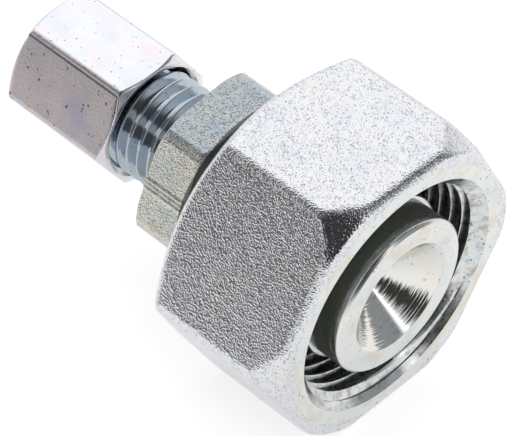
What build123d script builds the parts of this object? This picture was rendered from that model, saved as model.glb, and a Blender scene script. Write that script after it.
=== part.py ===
from build123d import *
import os
from math import radians, tan

os.makedirs("parts", exist_ok=True)

# Straight reducer of the cutting-ring pipe system: an 18 mm tube end to a 6 mm tube.
# X is the pipe axis, the origin is the centre of the tube end's face, and +X leaves
# through the large nut. The large nut lies on a flat that faces -Z. Sizes in mm.
# Threads are plain cylinders here. x positions fall from the face towards the stud.

# Shared by both ends
seal_slope = tan(radians(12))      # the 24 degree sealing cones
chamfer_slope = tan(radians(30))   # turned chamfers on the hexagons, from the face plane
shoulder_land = 0.60               # ring wall left at the foot of its rear shoulder
corner_reach = 1.2                 # turned outlines start outside a hexagon's corners

# Body
tube_od = 18.0
tube_edge = 0.40                   # chamfer round the tube end's face
tube_face = 2.55                   # flat ring of that face, outside the 90 degree countersink
hex_over_tube = 0.50               # hexagon's flats over the tube end: 19 mm across flats
hex_corner = 1.20                  # turned-down corners over the flats
hex_rear_land = 0.50               # flat left on the rear face, over the flats
hex_front_break = 0.20
hex_len = 5.55
hex_turn = 7.5                     # degrees, body hexagon against the large nut
stud_len = 11.0
stud_chamfer = 0.90

# Large side: nut M26 x 1.5, 32 mm across flats, and the cutting ring it closes on
large_ring_setback = 3.96          # tube end's face to the ring's cutting edge
bite_depth = 0.25                  # how far that edge has cut into the tube end
bite_len = 1.20
large_ring_land = 0.45             # ring wall at the cutting edge
large_ring_cone = 6.30
large_ring_wall = 2.30             # ring wall at its collar
large_ring_collar = 1.40
large_ring_room = 0.89             # collar to the crests of the nut's inside thread
large_nut_wall = 3.81              # those crests to the flats: 32 mm across flats
large_mouth_lead = 1.41            # 45 degree lead into the thread
large_nut_len = 18.0
large_web = 3.88                   # plain hole behind the nut's seat
large_nut_room = 3.17              # bare tube end between the nut and the hexagon
large_corner_round = 1.5
large_edge_round = 1.2
large_bevel_start = 0.45           # bevel's circle on the front face, outside the flats
large_bevel_slope = 1.7            # bevel length over its depth, a steep forged bevel
large_rear_start = 1.2             # rear chamfer's circle, inside the flats
large_hole_play = 0.10             # nut's hole round the tube end, per side
large_seat_play = 0.08             # nut's seat to the ring's shoulder, along the axis

# Small side: stud and nut M12 x 1.5, 14 mm across flats, with the ring and socket inside
small_tube_od = 6.0
small_tube_play = 0.05             # tube in its socket and ring, per side
socket_len = 2.3                   # straight socket behind the cone
socket_step = 1.05                 # shoulder that stops the tube, round the flow passage
cone_rise = 1.0                    # 24 degree cone's mouth over the socket
stud_wall = 1.95                   # stud outside the cone's mouth, to the thread's crests
small_ring_land = 0.55
small_ring_reach = 2.2             # ring's cone carried on outside the stud
small_ring_wall = 1.85             # ring wall at its collar
small_ring_collar = 3.5
small_cone_play = 0.03             # ring in the stud's cone, per side
small_seat_play = 0.05             # nut's seat to the ring's shoulder, along the axis
small_thread_play = 0.06           # nut round the stud, per side
small_nut_wall = 0.94              # nut's bore to its flats
small_nut_len = 14.5
small_web = 3.3
small_hole_play = 0.15             # nut's hole round the tube, per side
small_mouth_lead = 0.54            # 45 degree lead into the nut
small_corner_round = 0.5
small_front_start = 0.05           # front chamfer's circle, inside the flats
small_rear_start = 0.20
small_nut_turn = 4.5               # degrees, small nut against the large nut

# Radii, built up from the two tubes
tube_r = tube_od / 2
bite_r = tube_r - bite_depth
countersink_r = tube_r - tube_face
hex_flat_r = tube_r + hex_over_tube
hex_corner_r = hex_flat_r + hex_corner
socket_r = small_tube_od / 2 + small_tube_play
flow_r = socket_r - socket_step
cone_mouth_r = socket_r + cone_rise
stud_r = cone_mouth_r + stud_wall

# Large ring, then the nut set by its seat on the ring's shoulder
large_ring_front = -large_ring_setback
large_ring_front_r = tube_r + large_ring_land
large_ring_cone_end = large_ring_front - large_ring_cone
large_ring_cone_r = large_ring_front_r + large_ring_cone * seal_slope
large_collar_r = tube_r + large_ring_wall
large_collar_front = large_ring_cone_end - (large_collar_r - large_ring_cone_r)
large_collar_rear = large_collar_front - large_ring_collar
large_foot_r = tube_r + shoulder_land
large_ring_rear = large_collar_rear - (large_collar_r - large_foot_r)
large_hole_r = tube_r + large_hole_play
large_thread_r = large_collar_r + large_ring_room
large_mouth_r = large_thread_r + large_mouth_lead
large_flat_r = large_thread_r + large_nut_wall
large_seat_foot = large_ring_rear - large_seat_play - (large_foot_r - large_hole_r)
large_nut_rear = large_seat_foot - large_web
large_nut_front = large_nut_rear + large_nut_len

# Body behind the large nut
hex_front = large_nut_rear - large_nut_room
hex_rear = hex_front - hex_len
stud_end = hex_rear - stud_len
cone_foot = stud_end + cone_rise / seal_slope
socket_stop = cone_foot + socket_len

# Small ring in the stud's cone, then the nut set by the ring's shoulder
small_front_r = socket_r + small_ring_land
small_ring_front = stud_end + (cone_mouth_r - small_front_r - small_cone_play) / seal_slope
small_cone_end = stud_end - small_ring_reach
small_cone_r = small_front_r + (small_ring_front - small_cone_end) * seal_slope
small_collar_r = socket_r + small_ring_wall
small_collar_front = small_cone_end - (small_collar_r - small_cone_r)
small_collar_rear = small_collar_front - small_ring_collar
small_foot_r = socket_r + shoulder_land
small_ring_rear = small_collar_rear - (small_collar_r - small_foot_r)
small_hole_r = small_tube_od / 2 + small_hole_play
small_bore_r = stud_r + small_thread_play
small_flat_r = small_bore_r + small_nut_wall
small_seat_foot = small_ring_rear - small_seat_play - (small_foot_r - small_hole_r)
small_nut_rear = small_seat_foot - small_web
small_nut_front = small_nut_rear + small_nut_len

# Body: the forged hexagon, then the turned tube end and stud, then the passage
with BuildPart() as reducer_body:
    with BuildSketch(Plane.YZ.offset(hex_rear)):
        RegularPolygon(hex_flat_r, 6, major_radius=False, rotation=hex_turn)
    extrude(amount=hex_len)
    chamfer_r = hex_flat_r + hex_rear_land
    chamfer_len = (hex_corner_r - chamfer_r) * chamfer_slope
    with BuildSketch(Plane.XZ):
        with BuildLine():
            Polyline(
                (hex_front, 0), (hex_front, hex_corner_r - hex_front_break),
                (hex_front - hex_front_break, hex_corner_r),
                (hex_rear + chamfer_len, hex_corner_r),
                (hex_rear, chamfer_r), (hex_rear, 0), close=True)
        make_face()
    revolve(axis=Axis.X, mode=Mode.INTERSECT)
    with BuildSketch(Plane.XZ):
        with BuildLine():
            Polyline(
                (0, 0), (0, tube_r - tube_edge), (-tube_edge, tube_r),
                (large_ring_front, tube_r), (large_ring_front, bite_r),
                (large_ring_front - bite_len, bite_r), (large_ring_front - bite_len, tube_r),
                (hex_front, tube_r), (hex_rear, tube_r), (hex_rear, stud_r),
                (stud_end + stud_chamfer, stud_r), (stud_end, stud_r - stud_chamfer),
                (stud_end, 0), close=True)
        make_face()
    revolve(axis=Axis.X)
    with BuildSketch(Plane.XZ):
        with BuildLine():
            Polyline(
                (0, 0), (0, countersink_r), (flow_r - countersink_r, flow_r),
                (socket_stop, flow_r), (socket_stop, socket_r), (cone_foot, socket_r),
                (stud_end, cone_mouth_r), (stud_end, 0), close=True)
        make_face()
    revolve(axis=Axis.X, mode=Mode.SUBTRACT)

# Large cutting ring: its edge has bitten into the tube end, cone forward, shoulder back
with BuildPart() as large_cutting_ring:
    with BuildSketch(Plane.XZ):
        with BuildLine():
            Polyline(
                (large_ring_front, bite_r), (large_ring_front, large_ring_front_r),
                (large_ring_cone_end, large_ring_cone_r), (large_collar_front, large_collar_r),
                (large_collar_rear, large_collar_r), (large_ring_rear, large_foot_r),
                (large_ring_rear, tube_r), (large_ring_front - bite_len, tube_r),
                (large_ring_front - bite_len, bite_r), close=True)
        make_face()
    revolve(axis=Axis.X)

# Large union nut: rounded forged hexagon, cut by the steep front bevel and rear chamfer
with BuildPart() as large_union_nut:
    with BuildSketch(Plane.YZ.offset(large_nut_rear)):
        RegularPolygon(large_flat_r, 6, major_radius=False)
    extrude(amount=large_nut_len)
    fillet(large_union_nut.edges().filter_by(Axis.X), large_corner_round)
    fillet(large_union_nut.faces().sort_by(Axis.X)[-1].edges(), large_edge_round)
    outer_r = large_flat_r * corner_reach
    bevel_r = large_flat_r + large_bevel_start
    rear_r = large_flat_r - large_rear_start
    with BuildSketch(Plane.XZ):
        with BuildLine():
            Polyline(
                (large_nut_front, 0), (large_nut_front, bevel_r),
                (large_nut_front - (outer_r - bevel_r) * large_bevel_slope, outer_r),
                (large_nut_rear + (outer_r - rear_r) * chamfer_slope, outer_r),
                (large_nut_rear, rear_r), (large_nut_rear, 0), close=True)
        make_face()
    revolve(axis=Axis.X, mode=Mode.INTERSECT)
    # Bore: 45 degree mouth, thread, 45 degree seat for the ring, hole for the tube end
    with BuildSketch(Plane.XZ):
        with BuildLine():
            Polyline(
                (large_nut_front, 0), (large_nut_front, large_mouth_r),
                (large_nut_front - large_mouth_lead, large_thread_r),
                (large_seat_foot + (large_thread_r - large_hole_r), large_thread_r),
                (large_seat_foot, large_hole_r), (large_nut_rear, large_hole_r),
                (large_nut_rear, 0), close=True)
        make_face()
    revolve(axis=Axis.X, mode=Mode.SUBTRACT)

# Small cutting ring, waiting loose in the stud's cone
with BuildPart() as small_cutting_ring:
    with BuildSketch(Plane.XZ):
        with BuildLine():
            Polyline(
                (small_ring_front, socket_r), (small_ring_front, small_front_r),
                (small_cone_end, small_cone_r), (small_collar_front, small_collar_r),
                (small_collar_rear, small_collar_r), (small_ring_rear, small_foot_r),
                (small_ring_rear, socket_r), close=True)
        make_face()
    revolve(axis=Axis.X)

# Small union nut: machined from hexagon bar, chamfered at both ends
with BuildPart() as small_union_nut:
    with BuildSketch(Plane.YZ.offset(small_nut_rear)):
        RegularPolygon(small_flat_r, 6, major_radius=False, rotation=small_nut_turn)
    extrude(amount=small_nut_len)
    fillet(small_union_nut.edges().filter_by(Axis.X), small_corner_round)
    outer_r = small_flat_r * corner_reach
    front_r = small_flat_r - small_front_start
    rear_r = small_flat_r - small_rear_start
    with BuildSketch(Plane.XZ):
        with BuildLine():
            Polyline(
                (small_nut_front, 0), (small_nut_front, front_r),
                (small_nut_front - (outer_r - front_r) * chamfer_slope, outer_r),
                (small_nut_rear + (outer_r - rear_r) * chamfer_slope, outer_r),
                (small_nut_rear, rear_r), (small_nut_rear, 0), close=True)
        make_face()
    revolve(axis=Axis.X, mode=Mode.INTERSECT)
    with BuildSketch(Plane.XZ):
        with BuildLine():
            Polyline(
                (small_nut_front, 0), (small_nut_front, small_bore_r + small_mouth_lead),
                (small_nut_front - small_mouth_lead, small_bore_r),
                (small_seat_foot + (small_bore_r - small_hole_r), small_bore_r),
                (small_seat_foot, small_hole_r), (small_nut_rear, small_hole_r),
                (small_nut_rear, 0), close=True)
        make_face()
    revolve(axis=Axis.X, mode=Mode.SUBTRACT)

reducer_body.part.label = "reducer_body"
export_step(reducer_body.part, "parts/reducer_body.step")

large_cutting_ring.part.label = "large_cutting_ring"
export_step(large_cutting_ring.part, "parts/large_cutting_ring.step")

large_union_nut.part.label = "large_union_nut"
export_step(large_union_nut.part, "parts/large_union_nut.step")

small_cutting_ring.part.label = "small_cutting_ring"
export_step(small_cutting_ring.part, "parts/small_cutting_ring.step")

small_union_nut.part.label = "small_union_nut"
export_step(small_union_nut.part, "parts/small_union_nut.step")
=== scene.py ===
from math import atan, pi, radians, tan

import bmesh
import bpy
import numpy as np
from mathutils import Matrix, Vector


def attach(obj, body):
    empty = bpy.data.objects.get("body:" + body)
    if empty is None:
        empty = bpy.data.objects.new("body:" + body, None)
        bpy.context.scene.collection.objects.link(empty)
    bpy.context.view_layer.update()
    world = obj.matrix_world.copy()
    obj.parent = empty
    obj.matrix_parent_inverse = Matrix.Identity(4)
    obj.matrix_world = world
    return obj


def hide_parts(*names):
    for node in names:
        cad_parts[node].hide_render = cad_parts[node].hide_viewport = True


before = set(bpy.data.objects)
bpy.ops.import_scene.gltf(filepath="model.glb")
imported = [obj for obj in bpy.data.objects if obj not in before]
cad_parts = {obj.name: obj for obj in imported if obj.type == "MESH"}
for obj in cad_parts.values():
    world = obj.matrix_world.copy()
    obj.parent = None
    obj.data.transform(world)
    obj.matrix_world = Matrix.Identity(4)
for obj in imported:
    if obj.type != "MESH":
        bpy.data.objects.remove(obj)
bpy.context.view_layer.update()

MM = 0.001

# Sizes in mm. x runs along the pipe axis. The main sizes are those of the solids, and the threads'
# roots, the softened edges and the finer steps are added here. An aim is a radius just outside the
# corners, and a name that ends in round sets how soft an edge is. crest_half and root_half are half
# the width of a thread's crest and root, in turns. A crest passes crest_at at the angle crest_angle,
# in degrees, or at angle 0.
LARGE = dict(front=-0.331, rear=-18.331, flat=16.0, aim=18.3, corner_round=0.70, front_round=1.15,
             bevel=16.45, bevel_run=1.7, bevel_round=0.25, rear_circle=14.8, rear_round=0.2,
             chamfer_round=0.45, mouth=13.6, crest=12.19, root=13.02, crest_half=0.125,
             root_half=0.0625, crest_at=-2.98, thread_end=-9.2, run_out=0.5,
             hole=9.1, hole_edge=0.2, seat=-14.451)
HEX = dict(front=-21.501, rear=-27.051, flat=9.5, aim=10.8, turn=7.5, corner=10.7, flat_round=0.05,
           corner_round=0.07, front_break=0.2, face_round=0.1, rear_circle=10.0, rear_round=0.12)
STUD = dict(shank=5.75, shank_end=-28.3, run_out=1.2, lead=0.3, crest=6.0, root=5.12,
            crest_half=0.0625, root_half=0.1, crest_at=-33.04, crest_angle=125.8, end=-38.051,
            chamfer=0.9, cone=4.05, cone_foot=-33.346, socket=3.05, stop=-31.046, flow=2.0)
TUBE = dict(radius=9.0, edge=0.4, edge_round=0.16, face_end=-1.2, mouth=6.45, funnel_end=-0.12,
            passage_middle=-20, bite_front=-3.96, bite_rear=-5.16, bite=8.75)
SMALL = dict(front=-34.763, rear=-49.263, flat=7.0, aim=8.1, turn=4.5, corner_round=0.5,
             front_circle=6.95, rear_circle=6.8, chamfer_round=0.16, face_round=0.1, mouth=6.6,
             bore=6.06, hole=3.15, hole_edge=0.25, seat=-45.963)
LARGE_RING = dict(front=-3.96, nose=9.45, cone_end=-10.26, collar=11.3, collar_front=-10.761,
                  collar_rear=-12.161, rear=-13.861, rear_radius=9.6, bore=9.0)
SMALL_RING = dict(front=-36.084, nose=3.6, cone_end=-40.251, cone_radius=4.488, collar=4.9,
                  collar_front=-40.663, collar_rear=-44.163, rear=-45.413, rear_radius=3.65,
                  bore=3.05, bore_middle=-40.0)
PITCH = 1.5
CONE_SLOPE = tan(radians(12))
CHAMFER_ANGLE = radians(30)

# The forging seam: the flat it lies on, the stretch of angles round that flat's middle that gets
# more points, and each ridge's place across the flat, its width and its height
SEAM_FLAT = 150
SEAM_STRETCH = (-5, 12, 44)
SEAM_RIDGES = ((0.15, 0.16, 0.10), (0.62, 0.15, 0.12), (1.12, 0.17, 0.12))

# Mesh tolerances in metres, and the angle above which an edge is drawn sharp
WELD_DISTANCE = 0.000002
COLLAPSE_DISTANCE = 0.000001
SHARP_ANGLE = radians(32)


# Mesh building

def spans(*stretches):
    """Numbers spaced evenly over each stretch, given as its first number, its last and a count."""
    return [value for first, last, count in stretches for value in np.linspace(first, last, count)]


def hexagon_angles(turn, near_corner=26, across_flat=34, extra=()):
    """Angles round the axis, close together at the six corners, where the form changes fast."""
    near = 4.5
    angles = []
    for k in range(6):
        corner = 60 * k + turn
        angles += list(np.linspace(corner - near, corner + near, near_corner, endpoint=False))
        angles += list(np.linspace(corner + near, corner + 60 - near, across_flat, endpoint=False))
    for low, high, count in extra:
        angles = [a for a in angles if not low < a % 360 < high]
        angles += list(np.linspace(low, high, count))
    return np.radians(np.unique(np.round(np.mod(angles, 360), 6)))


def finish_by_flat(angles, turn, finishes):
    """Picks a finish for each strip, by the hexagon's flat that it lies on."""
    flat = np.floor(np.mod(np.degrees(angles) - turn, 360) / 60).astype(int) % 6
    return np.array(finishes)[flat]


def rounded_meet(a, b, radius):
    """Signed distance to two surfaces that meet in an edge rounded to this radius."""
    corner = np.hypot(np.maximum(a + radius, 0), np.maximum(b + radius, 0))
    return np.minimum(np.maximum(a, b), -radius) + corner


def cut_by(form, *cuts):
    """The form cut by each surface in turn, with each new edge rounded to its radius."""
    for surface, radius in cuts:
        form = rounded_meet(form, surface, radius)
    return form


def chamfer_distance(past_circle, past_face, angle=CHAMFER_ANGLE):
    """Signed distance to a cone that cuts the corners off, from a circle on the face."""
    return past_circle * np.sin(angle) + past_face * np.cos(angle)


def hexagon_distance(r, angle, flat, turn, radius, relief=None):
    """Signed distance to a hexagonal prism with rounded corners, and with relief on its flats."""
    normal = np.radians(turn + 30)
    off = np.mod(angle - normal + pi / 6, pi / 3) - pi / 6
    first = r * np.cos(off) - flat
    second = r * np.cos(pi / 3 - np.abs(off)) - flat
    if relief is not None:
        first = first - relief(angle, r * np.sin(off))
    return rounded_meet(first, second, radius)


def outside_of(distance, start, aims, angles, reach=30.0, halvings=44):
    """Rows of points where rays from a circle inside the form, given as x and r, leave it."""
    ray = np.array(aims, float) - np.array(start)
    ray /= np.linalg.norm(ray, axis=1)[:, None]
    low = np.zeros((len(aims), len(angles)))
    high = np.full_like(low, reach)
    for _ in range(halvings):
        middle = (low + high) / 2
        x = start[0] + middle * ray[:, :1]
        r = start[1] + middle * ray[:, 1:]
        inside = distance(x, r, angles[None, :]) < 0
        low = np.where(inside, middle, low)
        high = np.where(inside, high, middle)
    return start[0] + low * ray[:, :1], start[1] + low * ray[:, 1:]


def hexagon_rows(distance, n, start, radii, lengths, rear_radii, angles):
    """Rows over a hexagon's outside: out across its front face, along it, in across its rear face.
    The radii and lengths that the rays aim at lie closer together where the form bends."""
    aims = [(n["front"], r) for r in radii] + [(x, n["aim"]) for x in lengths]
    aims += [(n["rear"], r) for r in rear_radii]
    x, r = outside_of(distance, start, aims, angles)
    x[0], r[0] = n["front"], radii[0]
    x[-1], r[-1] = n["rear"], rear_radii[-1]
    return x, r


def turned_rows(profile, angles):
    """The same profile at every angle: a turned surface."""
    points = np.array(profile, float)
    ones = np.ones((1, len(angles)))
    return points[:, :1] * ones, points[:, 1:] * ones


def rounded_profile(points, radius, steps=4):
    """A profile with each inner corner replaced by a short curve."""
    out = [points[0]]
    for before, here, after in zip(points, points[1:], points[2:]):
        before, here, after = np.array(before), np.array(here), np.array(after)
        to_before, to_after = before - here, after - here
        reach = min(radius, 0.45 * np.linalg.norm(to_before), 0.45 * np.linalg.norm(to_after))
        start = here + to_before / np.linalg.norm(to_before) * reach
        end = here + to_after / np.linalg.norm(to_after) * reach
        for t in np.linspace(0, 1, steps):
            out.append(tuple((1 - t) ** 2 * start + 2 * t * (1 - t) * here + t ** 2 * end))
    out.append(points[-1])
    return out


def thread_rows(n, x_low, x_high, crest_at, half_marks, angles, limit):
    """Rows that climb with a right-hand thread, held between two ends and cut by limit. The marks
    are the rows' places from crest to root, in turns of the thread."""
    angles = np.append(angles, angles[0] + 2 * pi)
    marks = [-0.5] + [-mark for mark in reversed(half_marks)] + half_marks
    first = int(np.floor((x_low - crest_at) / PITCH)) - 2
    last = int(np.ceil((x_high - crest_at) / PITCH)) + 1
    phase = np.array([turn + mark for turn in range(first, last) for mark in marks])
    from_crest = np.abs(phase - np.round(phase))
    flank = 0.5 - n["crest_half"] - n["root_half"]
    depth = np.clip((from_crest - n["crest_half"]) / flank, 0, 1)
    x = crest_at + PITCH * (phase[:, None] + angles[None, :] / (2 * pi))
    r = n["crest"] + (n["root"] - n["crest"]) * depth[:, None] + 0 * x
    x = np.clip(x, x_low, x_high)
    return x, limit(x, r), angles


class Shell:
    """Collects rows of points into one welded mesh, each patch with its own finish."""

    def __init__(self):
        self.points, self.faces, self.finish = [], [], []

    def add(self, rows, angles, finish, closed=True):
        """Adds a patch. Its finish is one number, or one for each strip of faces round the axis,
        or one for each face."""
        x, r = rows
        start, count = len(self.points), len(angles)
        across = count if closed else count - 1
        finish = np.broadcast_to(finish, (x.shape[0] - 1, across))
        y, z = r * np.cos(angles)[None, :], r * np.sin(angles)[None, :]
        self.points += [(a * MM, b * MM, c * MM) for a, b, c in zip(x.ravel(), y.ravel(), z.ravel())]
        for i in range(x.shape[0] - 1):
            for j in range(across):
                a, b = start + i * count + j, start + i * count + (j + 1) % count
                self.faces.append((a, b, b + count, a + count))
                self.finish.append(int(finish[i, j]))

    def build(self, name, finishes):
        """Makes the piece, welded and with its faces turned outwards."""
        mesh = bpy.data.meshes.new(name)
        mesh.from_pydata(self.points, [], self.faces)
        for finish in finishes:
            mesh.materials.append(finish)
        mesh.polygons.foreach_set("material_index", self.finish)
        work = bmesh.new()
        work.from_mesh(mesh)
        bmesh.ops.remove_doubles(work, verts=work.verts, dist=WELD_DISTANCE)
        bmesh.ops.dissolve_degenerate(work, edges=work.edges, dist=COLLAPSE_DISTANCE)
        bmesh.ops.recalc_face_normals(work, faces=work.faces)
        work.to_mesh(mesh)
        work.free()
        mesh.shade_smooth()
        mesh.set_sharp_from_angle(angle=SHARP_ANGLE)
        piece = bpy.data.objects.new(name, mesh)
        bpy.context.collection.objects.link(piece)
        return piece


# Shader nodes

def start_group(name, inputs, outputs):
    """A node group with its named inputs and outputs, and its two end nodes."""
    group = bpy.data.node_groups.new(name, "ShaderNodeTree")
    for label, kind, value in inputs:
        socket = group.interface.new_socket(label, in_out="INPUT", socket_type=kind)
        socket.default_value = value
    for label, kind in outputs:
        group.interface.new_socket(label, in_out="OUTPUT", socket_type=kind)
    return group, group.nodes.new("NodeGroupInput"), group.nodes.new("NodeGroupOutput")


def node(tree, kind, links=None, **settings):
    """Adds a node, sets its properties, and fills its inputs with values or links."""
    made = tree.nodes.new(kind)
    for key, value in settings.items():
        setattr(made, key, value)
    for key, value in (links or {}).items():
        if isinstance(value, bpy.types.NodeSocket):
            tree.links.new(value, made.inputs[key])
        else:
            made.inputs[key].default_value = value
    return made


def calculate(tree, operation, a, b=0.0):
    return node(tree, "ShaderNodeMath", {0: a, 1: b}, operation=operation).outputs[0]


def weighted_sum(tree, *terms):
    """Adds up values, each times its weight."""
    total = None
    for value, weight in reversed(terms):
        part = calculate(tree, "MULTIPLY", value, weight)
        total = part if total is None else calculate(tree, "ADD", part, total)
    return total


def ramp(tree, factor, low, high, to_low=0.0, to_high=1.0):
    return node(tree, "ShaderNodeMapRange",
                {"Value": factor, "From Min": low, "From Max": high,
                 "To Min": to_low, "To Max": to_high}).outputs["Result"]


def noise(tree, place, scale, detail, **settings):
    return node(tree, "ShaderNodeTexNoise", {"Vector": place, "Scale": scale, "Detail": detail},
                **settings).outputs["Fac"]


def cell_distance(tree, place, scale):
    return node(tree, "ShaderNodeTexVoronoi", {"Vector": place, "Scale": scale}).outputs["Distance"]


def blend(tree, factor, a, b):
    """Mixes two colours. Sockets 0, 6 and 7 are the mix node's factor and its two colours."""
    return node(tree, "ShaderNodeMix", {0: factor, 6: a, 7: b}, data_type="RGBA").outputs[2]


def make_forged_grain():
    """Fine blasted and forged grain under the plating: a height and a mask of its hollows."""
    group, given, result = start_group(
        "forged_grain",
        [("Vector", "NodeSocketVector", (0, 0, 0)), ("Grain Scale", "NodeSocketFloat", 4200.0)],
        [("Height", "NodeSocketFloat"), ("Hollows", "NodeSocketFloat")])
    place, scale = given.outputs["Vector"], given.outputs["Grain Scale"]
    fine = noise(group, place, scale, 0.7)
    wide = noise(group, place, calculate(group, "MULTIPLY", scale, 0.32), 2.0)
    pits = cell_distance(group, place, scale)
    height = weighted_sum(group, (fine, 0.35), (pits, 0.32), (wide, 0.3))
    group.links.new(height, result.inputs["Height"])
    group.links.new(ramp(group, height, 0.45, 0.36), result.inputs["Hollows"])
    return group


def make_turned_lines():
    """Marks left by the lathe tool, running round the axis."""
    group, given, result = start_group(
        "turned_lines",
        [("Vector", "NodeSocketVector", (0, 0, 0)), ("Lines Per Metre", "NodeSocketFloat", 6000.0)],
        [("Height", "NodeSocketFloat")])
    parts = node(group, "ShaderNodeSeparateXYZ", {0: given.outputs["Vector"]}).outputs
    squares = [calculate(group, "POWER", parts[index], 2.0) for index in (1, 2)]
    radius = calculate(group, "SQRT", calculate(group, "ADD", *squares))
    along = node(group, "ShaderNodeCombineXYZ", {0: parts[0], 1: radius}).outputs[0]
    lines = given.outputs["Lines Per Metre"]
    fine = noise(group, along, lines, 2.0, noise_dimensions="2D")
    broad = noise(group, along, calculate(group, "MULTIPLY", lines, 0.2), 1.0, noise_dimensions="2D")
    group.links.new(weighted_sum(group, (fine, 0.6), (broad, 0.4)), result.inputs["Height"])
    return group


def make_zinc_bloom():
    """Zinc plating's colour: patches of cooler and warmer passivation with dark specks."""
    group, given, result = start_group(
        "zinc_bloom",
        [("Vector", "NodeSocketVector", (0, 0, 0)),
         ("Plain", "NodeSocketColor", (0.7, 0.7, 0.7, 1)), ("Cool", "NodeSocketColor", (0.6, 0.66, 0.75, 1)),
         ("Warm", "NodeSocketColor", (0.7, 0.64, 0.6, 1)), ("Bloom", "NodeSocketFloat", 0.5),
         ("Patch Scale", "NodeSocketFloat", 260.0), ("Speck Scale", "NodeSocketFloat", 1300.0),
         ("Specks", "NodeSocketFloat", 0.3)],
        [("Color", "NodeSocketColor"), ("Patches", "NodeSocketFloat")])
    place, bloom = given.outputs["Vector"], given.outputs["Bloom"]
    patch, speck = given.outputs["Patch Scale"], given.outputs["Speck Scale"]
    cool = noise(group, place, patch, 3.0)
    shifted = node(group, "ShaderNodeVectorMath", {0: place, 1: (0.31, 0.17, 0.23)}).outputs[0]
    warm = noise(group, shifted, calculate(group, "MULTIPLY", patch, 1.4), 3.0)
    colour = blend(group, calculate(group, "MULTIPLY", ramp(group, cool, 0.45, 0.7), bloom),
                   given.outputs["Plain"], given.outputs["Cool"])
    colour = blend(group, calculate(group, "MULTIPLY", ramp(group, warm, 0.48, 0.7), bloom),
                   colour, given.outputs["Warm"])
    cells = cell_distance(group, place, speck)
    rare = noise(group, place, calculate(group, "MULTIPLY", speck, 0.5), 2.0)
    size = ramp(group, rare, 0.48, 0.66, 0.02, 0.34)
    specks = ramp(group, calculate(group, "SUBTRACT", size, cells), 0.0, 0.10)
    darkened = blend(group, calculate(group, "MULTIPLY", specks, given.outputs["Specks"]), colour,
                     (0.06, 0.055, 0.05, 1))
    group.links.new(darkened, result.inputs["Color"])
    group.links.new(cool, result.inputs["Patches"])
    return group


grain_group = make_forged_grain()
lines_group = make_turned_lines()
bloom_group = make_zinc_bloom()


# Zinc finishes

def zinc(name, plain, cool, warm, rough, bloom=0.5, patch=260.0, speck=1300.0, specks=0.3,
         grain=0.0, grain_scale=4200.0, hollow=None, lines=0.0, per_metre=6000.0):
    """A zinc-plated steel finish, with forged grain or turning marks as the piece has. Grain and
    lines are heights in metres."""
    material = bpy.data.materials.new(name)
    material.use_nodes = True
    tree = material.node_tree
    shader = tree.nodes["Principled BSDF"]
    shader.inputs["Metallic"].default_value = 1.0
    place = node(tree, "ShaderNodeTexCoord").outputs["Object"]
    tone = node(tree, "ShaderNodeGroup", node_tree=bloom_group)
    tree.links.new(place, tone.inputs["Vector"])
    for label, value in (("Plain", (*plain, 1)), ("Cool", (*cool, 1)), ("Warm", (*warm, 1)),
                         ("Bloom", bloom), ("Patch Scale", patch), ("Speck Scale", speck),
                         ("Specks", specks)):
        tone.inputs[label].default_value = value
    colour = tone.outputs["Color"]
    roughness = ramp(tree, tone.outputs["Patches"], 0.3, 0.7, *rough)
    normal = None
    if grain:
        texture = node(tree, "ShaderNodeGroup", node_tree=grain_group)
        tree.links.new(place, texture.inputs["Vector"])
        texture.inputs["Grain Scale"].default_value = grain_scale
        bump = {"Height": texture.outputs["Height"], "Strength": 1.0, "Distance": grain}
        normal = node(tree, "ShaderNodeBump", bump).outputs["Normal"]
        if hollow:
            hollow_share = 0.8
            share = calculate(tree, "MULTIPLY", texture.outputs["Hollows"], hollow_share)
            colour = blend(tree, share, colour, (*hollow, 1))
    if lines:
        marks = node(tree, "ShaderNodeGroup", node_tree=lines_group)
        tree.links.new(place, marks.inputs["Vector"])
        marks.inputs["Lines Per Metre"].default_value = per_metre
        bump = {"Height": marks.outputs["Height"], "Strength": 1.0, "Distance": lines}
        if normal:
            bump["Normal"] = normal
        normal = node(tree, "ShaderNodeBump", bump).outputs["Normal"]
    tree.links.new(colour, shader.inputs["Base Color"])
    tree.links.new(roughness, shader.inputs["Roughness"])
    if normal:
        tree.links.new(normal, shader.inputs["Normal"])
    return material


forged_nut = zinc("forged_nut_zinc", (0.67, 0.68, 0.70), (0.60, 0.63, 0.71), (0.69, 0.67, 0.64),
                  bloom=0.45, specks=0.3, speck=2400, rough=(0.11, 0.16), grain=0.00010,
                  grain_scale=5000, hollow=(0.30, 0.30, 0.36))
nut_face = zinc("nut_face_zinc", (0.71, 0.72, 0.69), (0.61, 0.67, 0.70), (0.62, 0.54, 0.44),
                bloom=0.7, specks=0.6, speck=2300, rough=(0.20, 0.30), grain=0.00003)
nut_mouth = zinc("nut_mouth_zinc", (0.66, 0.68, 0.67), (0.50, 0.58, 0.64), (0.30, 0.23, 0.17),
                 bloom=0.7, patch=800, specks=0.7, speck=2000, rough=(0.16, 0.30), lines=0.00001)
turned = zinc("turned_zinc", (0.69, 0.70, 0.68), (0.60, 0.66, 0.70), (0.62, 0.54, 0.44),
              bloom=0.6, specks=0.6, speck=2600, rough=(0.20, 0.28), lines=0.000012)
# Painted shade: the tube end's dark olive colour stands in for the shade and the dark reflections inside the
# large nut's mouth
shaded_tube_skin = zinc("shaded_tube_end_zinc", (0.42, 0.45, 0.38), (0.33, 0.37, 0.34), (0.46, 0.45, 0.36),
                 rough=(0.30, 0.40), lines=0.000006)
funnel_skin = zinc("countersink_zinc", (0.72, 0.71, 0.67), (0.60, 0.65, 0.71), (0.72, 0.68, 0.58),
                   rough=(0.08, 0.13), lines=0.00006, per_metre=4200)
thread_skin = zinc("thread_zinc", (0.66, 0.68, 0.69), (0.54, 0.60, 0.66), (0.62, 0.57, 0.48),
                   rough=(0.10, 0.17), lines=0.000004)
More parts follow.
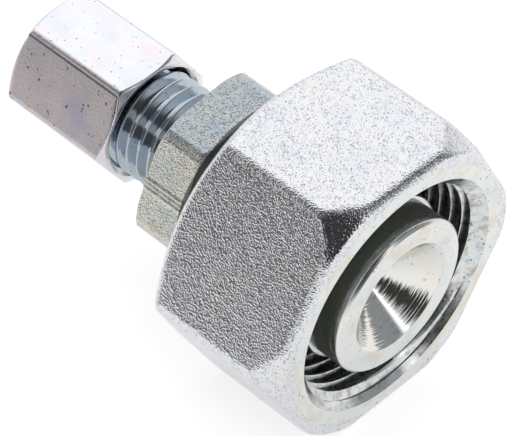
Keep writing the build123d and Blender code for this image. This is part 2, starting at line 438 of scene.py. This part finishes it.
stud_skin = zinc("stud_thread_zinc", (0.44, 0.49, 0.54), (0.32, 0.40, 0.50), (0.50, 0.48, 0.44),
                 rough=(0.08, 0.14), lines=0.000004)
# Painted shade: near black, for the hexagon's front face in the shaded gap behind the large nut
painted_shade_face = zinc("painted_shade_zinc", (0.15, 0.15, 0.14), (0.12, 0.13, 0.14), (0.17, 0.15, 0.12),
                 rough=(0.35, 0.45), lines=0.00001)
# Painted shade: a darker, cooler copy of the forged finish, for the hexagon's top flat and its opposite,
# standing in for the shade on the top flat
shaded_cool_forged = zinc("shaded_cool_forged_zinc", (0.42, 0.46, 0.48), (0.35, 0.42, 0.50), (0.46, 0.46, 0.43),
                   bloom=0.7, specks=0.3, rough=(0.12, 0.18), grain=0.00010, grain_scale=5600,
                   hollow=(0.17, 0.20, 0.22))
warm_forged = zinc("warm_forged_zinc", (0.58, 0.58, 0.54), (0.50, 0.55, 0.56), (0.57, 0.52, 0.44),
                   bloom=0.8, specks=0.4, speck=2400, rough=(0.12, 0.18), grain=0.00009,
                   grain_scale=6000, hollow=(0.28, 0.27, 0.24))
bright_nut = zinc("bright_small_nut_zinc", (0.72, 0.73, 0.76), (0.63, 0.68, 0.77), (0.75, 0.67, 0.70),
                  bloom=0.8, patch=300, specks=0.6, speck=2600, rough=(0.16, 0.22), grain=0.000006,
                  grain_scale=3200)
# Painted shade: a darker, warmer copy of the small nut's plating, for the side flat towards -Y and its
# opposite
shaded_warm_nut = zinc("shaded_warm_small_nut_zinc", (0.50, 0.46, 0.47), (0.43, 0.42, 0.52), (0.52, 0.44, 0.42),
                bloom=0.9, patch=340, specks=0.85, speck=2000, rough=(0.20, 0.28), grain=0.000006,
                grain_scale=3200)


# Large union nut

def large_nut_distance(x, r, angle):
    n = LARGE
    form = hexagon_distance(r, angle, n["flat"], 0, n["corner_round"])
    bevel = chamfer_distance(r - n["bevel"], x - n["front"], atan(n["bevel_run"]))
    chamfer = chamfer_distance(r - n["rear_circle"], n["rear"] - x)
    return cut_by(form, (x - n["front"], n["front_round"]), (bevel, n["bevel_round"]),
                  (chamfer, n["chamfer_round"]), (n["rear"] - x, n["rear_round"]))


def make_large_nut():
    n = LARGE
    forged, face, lathe, thread, mouth = range(5)
    angles = hexagon_angles(0)
    shell = Shell()
    ray_start = (-9.0, 9.0)
    rows = hexagon_rows(large_nut_distance, n, ray_start,
                        spans((n["mouth"], 14.6, 6), (14.65, n["aim"], 26)),
                        spans((n["front"] - 0.1, -4.4, 30), (-5, -14.5, 6), (-14.8, n["rear"], 20)),
                        spans((18.0, 14.4, 16), (14.0, n["hole"] + n["hole_edge"], 4)), angles)
    face_rows = 9
    shell.add((rows[0][:face_rows + 1], rows[1][:face_rows + 1]), angles, face)
    shell.add((rows[0][face_rows:], rows[1][face_rows:]), angles, forged)
    inside = [(n["rear"], n["hole"] + n["hole_edge"]), (n["rear"] + n["hole_edge"], n["hole"]),
              (n["seat"], n["hole"]), (n["seat"] + n["root"] - n["hole"], n["root"]),
              (n["thread_end"] - 0.1, n["root"]), (n["thread_end"], n["root"])]
    shell.add(turned_rows(inside, angles), angles, lathe)

    def mouth_radius(x):
        return n["mouth"] - (n["front"] - x)

    def limit(x, r):
        ended = np.clip((x - n["thread_end"]) / n["run_out"], 0, 1)
        run_out = n["root"] - ended * (n["root"] - n["crest"])
        return np.maximum(np.maximum(r, mouth_radius(x)), run_out)

    half_marks = [0.09, 0.12, 0.145, 0.18, 0.22, 0.26, 0.30, 0.34, 0.38, 0.42, 0.45]
    x, r, climb = thread_rows(n, n["thread_end"], n["front"], n["crest_at"], half_marks, angles, limit)
    middle_x, middle_r = (x[:-1, :-1] + x[1:, 1:]) / 2, (r[:-1, :-1] + r[1:, 1:]) / 2
    near = 0.02
    at_mouth = middle_r > mouth_radius(middle_x) - near
    shell.add((x, r), climb, np.where(at_mouth, mouth, thread), closed=False)
    return shell.build("large_nut_forging", [forged_nut, nut_face, turned, thread_skin, nut_mouth])


# Body

def seam_relief(angle, across):
    """The forging seam: three fine ridges along the middle of two opposite flats."""
    off = np.mod(angle - radians(HEX["turn"] + SEAM_FLAT) + pi / 2, pi) - pi / 2
    ridges = sum(np.exp(-((across - at) / width) ** 2) * high for at, width, high in SEAM_RIDGES)
    return np.where(np.abs(off) < pi / 6, ridges, 0)


def body_hex_distance(x, r, angle):
    n = HEX
    form = hexagon_distance(r, angle, n["flat"], n["turn"], n["flat_round"], seam_relief)
    front = chamfer_distance(r - n["corner"] + n["front_break"], x - n["front"], radians(45))
    chamfer = chamfer_distance(r - n["rear_circle"], n["rear"] - x)
    return cut_by(form, (r - n["corner"], n["corner_round"]), (x - n["front"], n["face_round"]),
                  (front, n["face_round"]), (n["rear"] - x, n["rear_round"]),
                  (chamfer, n["face_round"]))


def make_body():
    n, t, s = HEX, TUBE, STUD
    cool, lathe, funnel, tube, stud, warm, shaded_front = range(7)
    low, high, count = SEAM_STRETCH
    seams = [(n["turn"] + flat + low, n["turn"] + flat + high, count)
             for flat in (SEAM_FLAT, SEAM_FLAT + 180)]
    angles = hexagon_angles(n["turn"], 22, 20, extra=seams)
    shell = Shell()

    # Passage and countersink, then the tube end back to the hexagon
    foot = s["flow"] - t["mouth"]
    passage = [(s["stop"], s["flow"]), (t["passage_middle"], s["flow"]), (foot - 0.1, s["flow"])]
    shell.add(turned_rows(passage, angles), angles, lathe)
    cone = [(x, t["mouth"] + x) for x in np.linspace(foot, t["funnel_end"], 24)]
    shell.add(turned_rows([(foot - 0.1, s["flow"])] + cone, angles), angles, funnel)
    face = rounded_profile([cone[-1], (0, t["mouth"]), (0, t["radius"] - t["edge"]),
                            (-t["edge"], t["radius"]), (t["face_end"], t["radius"])], t["edge_round"])
    shell.add(turned_rows(face, angles), angles, lathe)
    # The tube end inside the nut's mouth takes the dark olive finish, painted shade
    shell.add(turned_rows([(t["face_end"], t["radius"]), (t["bite_front"], t["radius"])], angles),
              angles, tube)
    bite = [(t["bite_front"], t["radius"]), (t["bite_front"], t["bite"]), (t["bite_rear"], t["bite"]),
            (t["bite_rear"], t["radius"]), (n["front"], t["radius"])]
    shell.add(turned_rows(bite, angles), angles, lathe)

    # Hexagon
    ray_start = ((n["front"] + n["rear"]) / 2, 6.0)
    rows = hexagon_rows(body_hex_distance, n, ray_start,
                        spans((t["radius"], 9.3, 3), (9.35, n["aim"], 12)),
                        spans((n["front"] - 0.05, n["front"] - 0.6, 8),
                              (n["front"] - 0.9, n["rear"] + 1.0, 8), (n["rear"] + 0.9, n["rear"], 14)),
                        spans((10.6, 9.2, 16), (9.0, s["crest"], 4)), angles)
    rows[1][-1] = s["shank"]
    # The top flat and its opposite take the darker copy, painted shade; the other four flats take the
    # lighter forged finish
    flats = finish_by_flat(angles, n["turn"], (warm, cool, warm, warm, cool, warm))
    finish = np.tile(flats, (len(rows[0]) - 1, 1))
    # The rows over the hexagon's front face get the near-black painted shade of the gap behind the large nut
    face_rows = 10
    finish[:face_rows] = shaded_front
    shell.add(rows, angles, finish)

    # Stud: shank, thread, end, cone and socket
    shell.add(turned_rows([(n["rear"], s["shank"]), (s["shank_end"], s["shank"])], angles), angles, stud)

    def limit(x, r):
        past_shank = s["shank_end"] - x
        run_out = s["shank"] - np.clip(past_shank / s["run_out"], 0, 1) * s["run_out"]
        r = np.where(past_shank < s["run_out"], np.maximum(r, run_out), r)
        r = np.where(past_shank < s["lead"], np.minimum(r, s["shank"] + past_shank), r)
        return np.minimum(r, s["crest"] - s["chamfer"] + (x - s["end"]))

    half_marks = [0.05, 0.085, 0.12, 0.18, 0.24, 0.30, 0.36, 0.41, 0.455]
    crest_at = s["crest_at"] - PITCH * s["crest_angle"] / 360
    x, r, climb = thread_rows(s, s["end"], s["shank_end"], crest_at, half_marks, angles, limit)
    shell.add((x, r), climb, stud, closed=False)
    socket = [(s["end"], s["crest"] - s["chamfer"]), (s["end"], s["cone"]),
              (s["cone_foot"], s["socket"]), (s["stop"], s["socket"]), (s["stop"], s["flow"])]
    shell.add(turned_rows(socket, angles), angles, lathe)
    return shell.build("body_forging", [shaded_cool_forged, turned, funnel_skin, shaded_tube_skin, stud_skin,
                                        warm_forged, painted_shade_face])


# Small union nut

def small_nut_distance(x, r, angle):
    n = SMALL
    form = hexagon_distance(r, angle, n["flat"], n["turn"], n["corner_round"])
    front = chamfer_distance(r - n["front_circle"], x - n["front"])
    rear = chamfer_distance(r - n["rear_circle"], n["rear"] - x)
    return cut_by(form, (front, n["chamfer_round"]), (rear, n["chamfer_round"]),
                  (x - n["front"], n["face_round"]), (n["rear"] - x, n["face_round"]))


def make_small_nut():
    n = SMALL
    bright, lathe, warm = range(3)
    angles = hexagon_angles(n["turn"], 22, 26)
    shell = Shell()
    ray_start = ((n["front"] + n["rear"]) / 2, 3.6)
    rows = hexagon_rows(small_nut_distance, n, ray_start,
                        spans((n["mouth"], 6.75, 2), (6.8, n["aim"], 16)),
                        spans((n["front"] - 0.05, n["front"] - 1.3, 14),
                              (n["front"] - 1.6, n["rear"] + 1.6, 8), (n["rear"] + 1.3, n["rear"], 14)),
                        spans((8.0, 6.4, 16), (5.0, n["hole"] + n["hole_edge"], 2)), angles)
    radius = (rows[1][:-1] + rows[1][1:]) / 2
    inside_flat = hexagon_distance(radius, angles[None, :], n["flat"], n["turn"], n["corner_round"])
    # The side flat towards -Y and its opposite take the darker copy, painted shade, except at their
    # chamfered ends
    flats = finish_by_flat(angles, n["turn"], (bright, bright, warm, bright, bright, warm))
    near = 0.05
    shell.add(rows, angles, np.where(inside_flat > -near, flats, bright))
    bore = [(n["rear"], n["hole"] + n["hole_edge"]), (n["rear"] + n["hole_edge"], n["hole"]),
            (n["seat"], n["hole"]), (n["seat"] + n["bore"] - n["hole"], n["bore"]),
            (n["front"] - (n["mouth"] - n["bore"]), n["bore"]), (n["front"], n["mouth"])]
    shell.add(turned_rows(bore, angles), angles, lathe)
    return shell.build("small_nut_turning", [bright_nut, turned, shaded_warm_nut])


# Cutting rings

def make_ring(name, profile, edge_round=0.12, degrees_apart=1.5):
    """A ring turned from a closed profile, which is given without its last point."""
    angles = np.radians(np.arange(0, 360, degrees_apart))
    shell = Shell()
    closed = rounded_profile(profile + [profile[0]], edge_round, steps=3)
    shell.add(turned_rows(closed, angles), angles, 0)
    return shell.build(name, [turned])


def make_large_ring():
    n, t = LARGE_RING, TUBE
    cone_radius = n["nose"] + (n["front"] - n["cone_end"]) * CONE_SLOPE
    return make_ring("large_ring_turning", [
        (t["bite_rear"], t["bite"]), (n["front"], t["bite"]), (n["front"], n["nose"]),
        (n["cone_end"], cone_radius), (n["collar_front"], n["collar"]),
        (n["collar_rear"], n["collar"]), (n["rear"], n["rear_radius"]), (n["rear"], n["bore"]),
        (t["bite_rear"], n["bore"])])


def make_small_ring():
    n = SMALL_RING
    return make_ring("small_ring_turning", [
        (n["bore_middle"], n["bore"]), (n["front"], n["bore"]), (n["front"], n["nose"]),
        (n["cone_end"], n["cone_radius"]), (n["collar_front"], n["collar"]),
        (n["collar_rear"], n["collar"]), (n["rear"], n["rear_radius"]), (n["rear"], n["bore"])])


for piece, solid, rides, finish in (
        (make_large_nut(), "large_union_nut", "large_nut", "large_nut"),
        (make_body(), "reducer_body", "body", "body"),
        (make_small_nut(), "small_union_nut", "small_nut", "small_nut"),
        (make_large_ring(), "large_cutting_ring", "body", "rings"),
        (make_small_ring(), "small_cutting_ring", "small_ring", "rings")):
    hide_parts(solid)
    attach(piece, rides)


# Floor, light and camera, in metres

MIDDLE = Vector((-0.02, 0, 0))
FLOOR_HEIGHT = -0.01601
FLOOR_SIDE = 6


def stage_plane(name, centre, across, up, size, material):
    """A flat card or floor, facing the side that across and up turn towards."""
    across, up = Vector(across).normalized(), Vector(up).normalized()
    corners = [Vector(centre) + across * size[0] * a + up * size[1] * b
               for a, b in ((-0.5, -0.5), (0.5, -0.5), (0.5, 0.5), (-0.5, 0.5))]
    mesh = bpy.data.meshes.new(name)
    mesh.from_pydata([tuple(c) for c in corners], [], [(0, 1, 2, 3)])
    mesh.materials.append(material)
    card = bpy.data.objects.new(name, mesh)
    bpy.context.collection.objects.link(card)
    return card


def empty_nodes(owner):
    """Turns on the nodes of a material or world and clears them."""
    owner.use_nodes = True
    owner.node_tree.nodes.clear()
    return owner.node_tree


def floor_material():
    """A pale floor: the camera sees it lifted towards white, and it keeps the shadow."""
    material = bpy.data.materials.new("studio_floor")
    material.use_nodes = True
    tree = material.node_tree
    shader = tree.nodes["Principled BSDF"]
    shader.inputs["Base Color"].default_value = (0.9, 0.9, 0.9, 1)
    shader.inputs["Roughness"].default_value = 0.9
    shader.inputs["Specular IOR Level"].default_value = 0.0
    shader.inputs["Emission Color"].default_value = (1, 1, 1, 1)
    path = node(tree, "ShaderNodeLightPath").outputs
    lift = weighted_sum(tree, (path["Is Camera Ray"], 0.5), (path["Is Glossy Ray"], 0.45))
    tree.links.new(lift, shader.inputs["Emission Strength"])
    return material


def reflector_card(name, direction, distance, size, brightness, tint=(1, 1, 1)):
    """A studio card that only the metal's reflections see."""
    material = bpy.data.materials.new(name)
    tree = empty_nodes(material)
    glow = node(tree, "ShaderNodeEmission", {"Color": (*tint, 1), "Strength": brightness})
    node(tree, "ShaderNodeOutputMaterial", {"Surface": glow.outputs[0]})
    towards = Vector(direction).normalized()
    across = towards.cross(Vector((0, 0, 1))).normalized()
    card = stage_plane(name, MIDDLE + towards * distance, across, across.cross(towards), size, material)
    card.visible_camera = False
    card.visible_diffuse = False
    card.visible_shadow = False


def make_world():
    """White all round, weaker where it lights matt surfaces than where it is seen or reflected."""
    world = bpy.data.worlds.new("studio")
    bpy.context.scene.world = world
    tree = empty_nodes(world)
    path = node(tree, "ShaderNodeLightPath").outputs
    reflected = calculate(tree, "MAXIMUM", path["Is Glossy Ray"], path["Is Transmission Ray"])
    seen = calculate(tree, "MAXIMUM", path["Is Camera Ray"], reflected)
    strength = ramp(tree, seen, 0.0, 1.0, 0.75, 1.0)
    light = node(tree, "ShaderNodeBackground", {"Color": (1, 1, 1, 1), "Strength": strength})
    node(tree, "ShaderNodeOutputWorld", {"Surface": light.outputs[0]})


def soft_lamp(name, place, target, size, power):
    """A rectangular lamp turned towards its target."""
    data = bpy.data.lights.new(name, "AREA")
    data.shape = "RECTANGLE"
    data.size, data.size_y = size
    data.energy = power
    lamp = bpy.data.objects.new(name, data)
    lamp.location = place
    lamp.rotation_euler = (target - Vector(place)).to_track_quat("-Z", "Y").to_euler()
    bpy.context.collection.objects.link(lamp)


def make_camera():
    """The photo's long lens, before the large nut's mouth, on the -Y side and above, rolled a little."""
    data = bpy.data.cameras.new("camera")
    data.sensor_width = 36
    data.lens = 217.54
    data.clip_start = 0.01
    camera = bpy.data.objects.new("camera", data)
    camera.location = (0.127904, -0.164993, 0.225449)
    ahead = Vector((-0.463921, 0.518200, -0.718502))
    level = ahead.cross(Vector((0, 0, 1))).normalized()
    raised = level.cross(ahead)
    roll = radians(3.01)
    right = level * np.cos(roll) + raised * np.sin(roll)
    top = right.cross(ahead)
    camera.rotation_euler = Matrix((right, top, -ahead)).transposed().to_euler()
    bpy.context.collection.objects.link(camera)
    bpy.context.scene.camera = camera


stage_plane("studio_floor", (0, 0, FLOOR_HEIGHT), (1, 0, 0), (0, 1, 0), (FLOOR_SIDE, FLOOR_SIDE),
            floor_material())
# Each card: its direction from the object's middle, its distance, its width and height, its
# brightness, and a tint where it isn't white
reflector_card("camera_side_flag", (0.68, -0.39, 0.60), 0.5, (0.54, 0.70), 0.05)
reflector_card("left_dark_card", (-0.40, -0.88, 0.22), 0.6, (1.00, 0.36), 0.16)
reflector_card("left_grey_card", (-0.40, -0.68, 0.62), 0.6, (0.90, 0.26), 0.88)
reflector_card("overhead_dark_card", (-0.12, -0.22, 0.95), 0.5, (0.42, 0.66), 0.14)
reflector_card("right_high_dark_card", (0.44, 0.46, 0.77), 0.5, (0.34, 0.26), 0.12)
reflector_card("right_back_grey_card", (0.64, 0.66, 0.34), 0.5, (0.44, 0.34), 0.36, (0.90, 0.96, 1.0))
reflector_card("right_light_strip", (0.85, 0.20, 0.48), 0.45, (0.06, 0.40), 1.8)
make_world()
soft_lamp("back_soft_box", (-0.28, 0.39, 0.45), MIDDLE, (0.6, 0.6), 0.40)
make_camera()
bpy.context.scene.view_settings.view_transform = "Standard"
